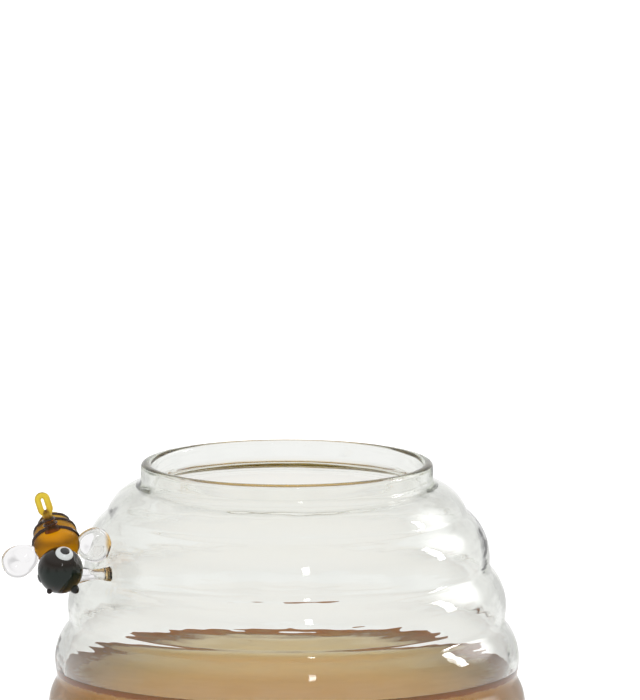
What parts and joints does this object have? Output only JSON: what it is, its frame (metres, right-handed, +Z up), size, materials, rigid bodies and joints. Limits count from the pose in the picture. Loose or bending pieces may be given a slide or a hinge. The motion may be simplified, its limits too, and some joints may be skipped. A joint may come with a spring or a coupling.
{
  "type": "honey pot",
  "caption": "Clear glass beehive-shaped pot with an open collar, part full of honey, with a small lampwork bee fused to its side.",
  "frame": {"origin": "centre of the flat base on the pot's axis, on the surface it stands on", "axes": "+Z up along the pot's axis, -X towards the bee, the bee faces -Y"},
  "size_m": [0.107, 0.0976, 0.085],
  "materials": {
    "pot_glass": "clear polished borosilicate glass",
    "honey": "clear golden-brown honey with a wet gloss",
    "black_glass": "opaque black glass, fire polished",
    "white_glass": "opaque white glass, fire polished",
    "amber_glass": "clear amber glass, fire polished",
    "brown_glass": "dark brown glass thread",
    "clear_wing_glass": "clear glass, fire polished"
  },
  "bodies": {
    "root": {"jar": "pot_glass", "honey": "honey", "bee_head": "black_glass", "bee_feeler_outer": "black_glass", "bee_feeler_inner": "black_glass", "bee_pupil_upper": "black_glass", "bee_pupil_outer": "black_glass", "bee_eye_upper": "white_glass", "bee_eye_outer": "white_glass", "bee_abdomen": "amber_glass", "bee_tail_loop": "amber_glass", "bee_stripe_1": "brown_glass", "bee_stripe_2": "brown_glass", "bee_stripe_3": "brown_glass", "bee_stem_ring_1": "brown_glass", "bee_stem_ring_2": "brown_glass", "bee_wing_outer": "clear_wing_glass", "bee_wing_inner": "clear_wing_glass", "bee_wall_drop": "clear_wing_glass"}
  },
  "joints": []
}
